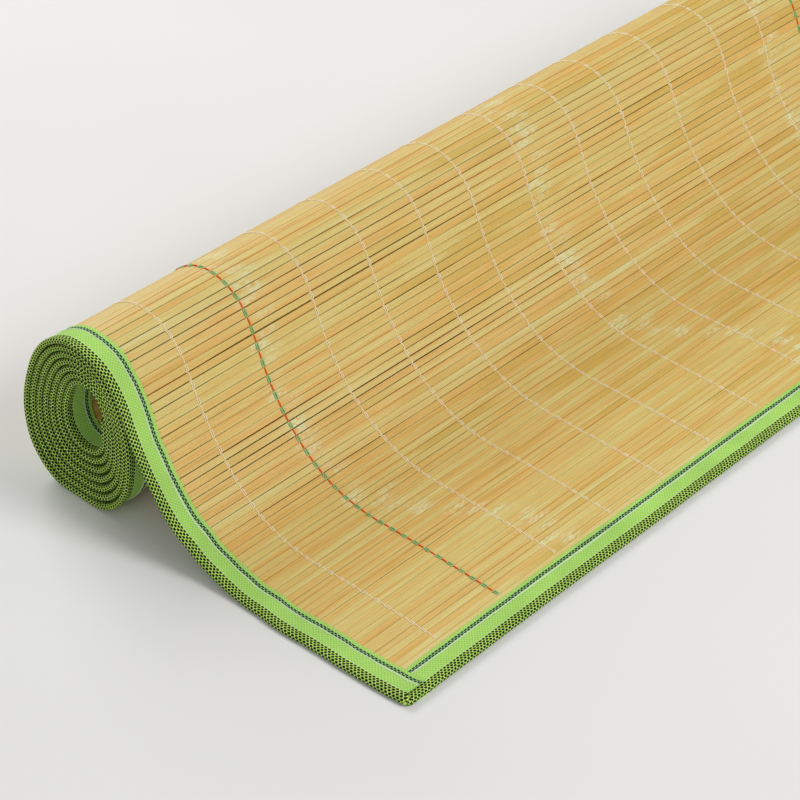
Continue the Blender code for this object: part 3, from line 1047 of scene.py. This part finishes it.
def tape_arcs():
    """Places across the tape, in metres from its fold, from the rim on top to the rim underneath."""
    nose = np.linspace(0.0, NOSE_ARC, NOSE_STEPS + 1)
    leaf = np.linspace(NOSE_ARC, TAPE_ARC, LEAF_STEPS + 1)[1:]
    one_side = np.concatenate([nose, leaf])
    return np.concatenate([one_side[::-1], -one_side[1:]])


def tape_section(arcs, settle, inner):
    """Distance in from the fold and height off the middle, for the outer or the inner face."""
    size = np.abs(arcs)
    angle = np.minimum(size / FOLD_RADIUS, math.pi / 2)
    radius = FOLD_RADIUS - (TAPE_CLOTH if inner else 0.0)
    beyond = np.maximum(size - NOSE_ARC, 0.0)
    inward = FOLD_RADIUS - radius * np.cos(angle) + beyond
    height = radius * np.sin(angle) - settle * smooth(beyond, 0.0005, 0.0070)
    return inward, np.sign(arcs) * height


def tape_mesh(name, outer, inner, uv):
    """A closed sheet from two grids of points, rows along the tape and columns across it."""
    rows, columns = outer.shape[:2]
    points = np.concatenate([outer.reshape(-1, 3), inner.reshape(-1, 3)])
    maps = np.concatenate([uv.reshape(-1, 2), uv.reshape(-1, 2)])
    base = rows * columns
    index = np.arange(base).reshape(rows, columns)
    faces = []
    for r in range(rows - 1):
        for c in range(columns - 1):
            a, b, d, e = index[r, c], index[r, c + 1], index[r + 1, c + 1], index[r + 1, c]
            faces.append((a, b, d, e))
            faces.append((base + e, base + d, base + b, base + a))
    for r in range(rows - 1):
        for c in (0, columns - 1):
            a, b = index[r, c], index[r + 1, c]
            faces.append((a, b, base + b, base + a) if c == 0 else (b, a, base + a, base + b))
    for c in range(columns - 1):
        for r in (0, rows - 1):
            a, b = index[r, c], index[r, c + 1]
            faces.append((b, a, base + a, base + b) if r == 0 else (a, b, base + b, base + a))
    mesh = bpy.data.meshes.new(name)
    mesh.from_pydata(points.tolist(), [], faces)
    layer = mesh.uv_layers.new(name="tape")
    corners = np.empty(len(mesh.loops), np.int32)
    mesh.loops.foreach_get("vertex_index", corners)
    layer.data.foreach_set("uv", maps[corners].astype(np.float32).ravel())
    shape = bmesh.new()
    shape.from_mesh(mesh)
    if shape.calc_volume(signed=True) < 0:
        bmesh.ops.reverse_faces(shape, faces=shape.faces[:])
    shape.to_mesh(mesh)
    shape.free()
    mesh.materials.append(tape)
    mesh.shade_smooth()
    mesh.set_sharp_from_angle(angle=math.radians(50))
    obj = bpy.data.objects.new(name, mesh)
    bpy.context.scene.collection.objects.link(obj)
    mesh.calc_loop_triangles()
    print(f"{name}: {len(mesh.loop_triangles)} triangles")
    return obj


# %% Side bindings
LEAF_SHORT = 0.0056
LEAF_LIFT = 0.00060
END_LIFT = 0.00095
END_CURL = 0.0040
OVERLAP_END = 0.0225
FINE_STEP = 0.003
END_STRETCH = 0.030


def ripple(distance, seed, rate, size):
    """A slow uneven wave along the tape."""
    return np.array([size * noise.noise(Vector((d * rate, seed, 0.5))) for d in np.ravel(distance)]).reshape(np.shape(distance))


def side_height(distance, height, inward):
    """The upper leaf is lifted where it lies over the front tape, most of all at its end."""
    over = LEAF_LIFT * (1 - smooth(distance, OVERLAP_END - 0.001, OVERLAP_END + 0.006))
    over = over + END_LIFT * (1 - smooth(distance, LEAF_SHORT, LEAF_SHORT + END_CURL))
    return height + np.where(height > 0, over * smooth(inward, 0.0010, 0.0035), 0.0)


def side_tape(name, side, seed):
    """The tape over the slat ends on one side, from the front corner to the heart of the roll."""
    arcs = tape_arcs()
    first = np.linspace(0.0, END_STRETCH, 13)
    fine = np.arange(END_STRETCH + FINE_STEP, crest_distance, FINE_STEP)
    stations = np.concatenate([first, fine, along[along > crest_distance]])
    stations = stations[:, None]
    short = np.where(arcs > 0, LEAF_SHORT * smooth(arcs, NOSE_ARC * 0.8, NOSE_ARC + 0.0028), 0.0)
    short = np.maximum(short, 0.0004)[None, :]
    distance = np.where(stations < END_STRETCH, short + stations * (END_STRETCH - short) / END_STRETCH, stations)
    faces = []
    for inner in (False, True):
        in_roll = smooth(distance, crest_distance - 0.03, crest_distance + 0.03)
        settle = np.where(arcs > 0, SETTLE, SETTLE * in_roll)
        inward, height = tape_section(arcs[None, :], settle, inner)
        height = side_height(distance, height, inward)
        height = height + ripple(stations, seed + 3.0, 70.0, 0.00022) * (1 - in_roll) * smooth(inward, 0.002, 0.02) * (arcs > 0)
        sway = ripple(stations, seed, 28.0, 0.0011) + ripple(stations, seed + 5.0, 75.0, 0.0006)
        rim = ripple(stations, seed + 6.0, 60.0, 0.0007) * smooth(inward, 0.006, 0.017)
        inset = (left_inset(distance) if side < 0 else 0.0) + rounded(distance) + (sway + rim) * (1 - 0.8 * in_roll)
        faces.append(to_space(side * (MAT_WIDTH / 2 - inset - inward), distance, height))
    uv = np.stack(np.broadcast_arrays(arcs[None, :], distance), axis=-1)
    return tape_mesh(name, faces[0], faces[1], uv)


tape_left = side_tape("binding_tape_left", -1, 2.0)
tape_right = side_tape("binding_tape_right", 1, 8.0)

# %% [markdown]
# ## Front and inner end bindings
#
# The straight tapes run along the first and the last slat. They pass under the side tapes at
# the corners, where they are pressed thinner.

# %% End bindings
PRESSED = 0.00028
CROSS_STEP = 0.006


def end_tape(name, at_front, seed):
    """The tape over the first or the last slat."""
    arcs = tape_arcs()[None, :]
    left = -MAT_WIDTH / 2 + (float(left_inset(0.0)) if at_front else 0.0) + FOLD_RADIUS * 1.05
    right = MAT_WIDTH / 2 - FOLD_RADIUS * 1.05
    count = round((right - left) / CROSS_STEP)
    x = np.linspace(left, right, count + 1)[:, None]
    near_side = np.minimum(x - left, right - x)
    pressed = PRESSED * (1 - smooth(near_side, TAPE_WIDTH - 0.002, TAPE_WIDTH + 0.003))
    faces = []
    for inner in (False, True):
        settle = np.where(arcs > 0, SETTLE + pressed, 0.0 if at_front else SETTLE)
        inward, height = tape_section(arcs, settle, inner)
        height = height + ripple(x, seed, 60.0, 0.00015) * smooth(inward, 0.004, 0.02) * (arcs > 0)
        inward = inward + rounded(near_side + FOLD_RADIUS) + ripple(x, seed + 4.0, 25.0, 0.0005)
        distance = inward if at_front else mat_length - inward
        faces.append(to_space(np.broadcast_to(x, distance.shape), distance, height))
    uv = np.stack(np.broadcast_arrays(arcs, x), axis=-1)
    return tape_mesh(name, faces[0], faces[1], uv)


tape_front = end_tape("binding_tape_front", True, 12.0)
tape_inner_end = end_tape("binding_tape_inner_end", False, 15.0)

# %% [markdown]
# ## Sewing thread
#
# A white lockstitch runs along every tape, a few millimetres in from its rim, on both faces. The
# stitch tree already makes such a short arch of yarn, so it is used again with the sewing
# thread's own sizes, on points that follow the tape.

# %% Lockstitch
SEAM_INWARD = 0.0156
STITCH_LENGTH = 0.0030
SEAM_SUNK = {1: 0.00008, -1: 0.00034}
SEWING = {"yarn_radius": 0.00029, "yarns": 1, "yarn_spacing": 0.0}


def seam(name, side_tape_seed, side):
    """Points of the seam on the two faces of a side tape."""
    places, turns, spans = [], [], []
    distances = np.arange(LEAF_SHORT + 0.6 * STITCH_LENGTH, mat_length - 0.004, STITCH_LENGTH)
    for face in (1, -1):
        for d in distances:
            in_roll = float(smooth(d, crest_distance - 0.03, crest_distance + 0.03))
            sway = float(ripple(d, side_tape_seed, 28.0, 0.0011) + ripple(d, side_tape_seed + 5.0, 75.0, 0.0006))
            sway *= 1 - 0.8 * in_roll
            rim = float(ripple(d, side_tape_seed + 20.0, 30.0, 0.0012))
            inset = (float(left_inset(d)) if side < 0 else 0.0) + sway
            settle = SETTLE if face > 0 else SETTLE * in_roll
            height = FOLD_RADIUS - settle - SEAM_SUNK[face]
            if face > 0:
                height += LEAF_LIFT * float(1 - smooth(d, OVERLAP_END - 0.001, OVERLAP_END + 0.006))
                height += END_LIFT * float(1 - smooth(d, LEAF_SHORT, LEAF_SHORT + END_CURL))
                height += float(ripple(d, side_tape_seed + 3.0, 70.0, 0.00022)) * (1 - in_roll) * 0.75
            places.append(to_space(side * (MAT_WIDTH / 2 - inset - SEAM_INWARD - rim), d, face * height))
            turns.append((float(slope_at(d)) + (0.0 if face > 0 else math.pi), 0.0, 0.0))
            spans.append(STITCH_LENGTH * 0.94)
    cloud = point_cloud(name, places, turn=turns, span=spans)
    return run_tree(
        cloud, stitch_tree, span=STITCH_LENGTH, rise=0.00024, points_along=5, sides=5, finish=sewing_yarn, **SEWING
    )


def straight_seam(name, at_front, seed):
    """Points of the seam on the two faces of a straight tape."""
    places, turns, spans = [], [], []
    reach = MAT_WIDTH / 2 - TAPE_WIDTH - 0.001
    for face in (1, -1):
        for x in np.arange(-reach + (0.004 if at_front else 0.0), reach, STITCH_LENGTH):
            rim = float(ripple(x, seed, 30.0, 0.0010))
            inward = SEAM_INWARD + rim
            distance = inward if at_front else mat_length - inward
            settle = SETTLE if face > 0 or not at_front else 0.0
            places.append(to_space(x, distance, face * (FOLD_RADIUS - settle - SEAM_SUNK[face])))
            tilt = float(slope_at(distance)) + (0.0 if face > 0 else math.pi)
            turns.append(tuple((Matrix.Rotation(tilt, 3, "X") @ Matrix.Rotation(math.pi / 2, 3, "Z")).to_euler()))
            spans.append(STITCH_LENGTH * 0.94)
    cloud = point_cloud(name, places, turn=turns, span=spans)
    return run_tree(
        cloud, stitch_tree, span=STITCH_LENGTH, rise=0.00024, points_along=5, sides=5, finish=sewing_yarn, **SEWING
    )


seams = [
    seam("sewing_left", 2.0, -1),
    seam("sewing_right", 8.0, 1),
    straight_seam("sewing_front", True, 33.0),
    straight_seam("sewing_inner_end", False, 37.0),
]

# %% [markdown]
# ## Put the pieces on the body
#
# Each dressed piece rides on the part's one body and replaces the plain solid that it was made
# on, which is hidden.

# %% Attach the pieces and hide the parts
bindings = [tape_left, tape_right, tape_front, tape_inner_end]
for piece in [bamboo_slats, *warp, *bindings, *seams]:
    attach(piece, "root")
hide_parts("slat_sheet")
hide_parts("binding_left")
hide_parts("binding_right")
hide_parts("binding_front")
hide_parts("binding_inner_end")

# %% [markdown]
# ## Floor and light
#
# A plain pale floor and a few large soft lights, as in a product studio. The key light stands
# high on the camera's right, so the end of the roll, which faces left, falls into soft shade.

# %% Stage and lights
FLOOR_SIZE = 12.0
KEY_POWER = 50.0
BACK_POWER = 46.0
FILL_POWER = 9.0
SKY_STRENGTH = 0.38

floor_mesh = bpy.data.meshes.new("floor")
edge = FLOOR_SIZE / 2
floor_mesh.from_pydata([(-edge, -edge, 0), (edge, -edge, 0), (edge, edge, 0), (-edge, edge, 0)], [], [(0, 1, 2, 3)])
floor = bpy.data.objects.new("floor", floor_mesh)
floor.location.z = -0.0002
bpy.context.scene.collection.objects.link(floor)
floor_mat, tree, shader = new_material("pale_floor")
grain = add(tree, "ShaderNodeTexNoise", {"Vector": add(tree, "ShaderNodeTexCoord").outputs["Object"], "Scale": 3.0}).outputs["Fac"]
tree.links.new(ramp(tree, grain, ((0.2, (0.74, 0.735, 0.72)), (0.8, (0.78, 0.775, 0.76)))), shader.inputs["Base Color"])
shader.inputs["Roughness"].default_value = 0.9
floor_mesh.materials.append(floor_mat)


def soft_light(name, place, aim, size, power, tint=(1.0, 1.0, 1.0)):
    light = bpy.data.lights.new(name, "AREA")
    light.shape = "DISK"
    light.size = size
    light.energy = power
    light.color = tint
    obj = bpy.data.objects.new(name, light)
    obj.location = place
    obj.rotation_euler = (Vector(aim) - Vector(place)).to_track_quat("-Z", "Y").to_euler()
    bpy.context.scene.collection.objects.link(obj)
    return obj


soft_light("key_light", (0.7, -2.2, 2.1), (0.0, 0.0, 0.03), 1.4, KEY_POWER)
soft_light("back_light", (0.3, 2.3, 1.6), (0.0, 0.0, 0.05), 1.8, BACK_POWER)
soft_light("fill_light", (-2.4, -0.6, 1.2), (0.0, 0.0, 0.05), 1.6, FILL_POWER)
world = bpy.data.worlds.new("studio")
world.use_nodes = True
world.node_tree.nodes["Background"].inputs["Color"].default_value = (1.0, 1.0, 1.0, 1.0)
world.node_tree.nodes["Background"].inputs["Strength"].default_value = SKY_STRENGTH
bpy.context.scene.world = world
bpy.context.scene.view_settings.view_transform = "Standard"
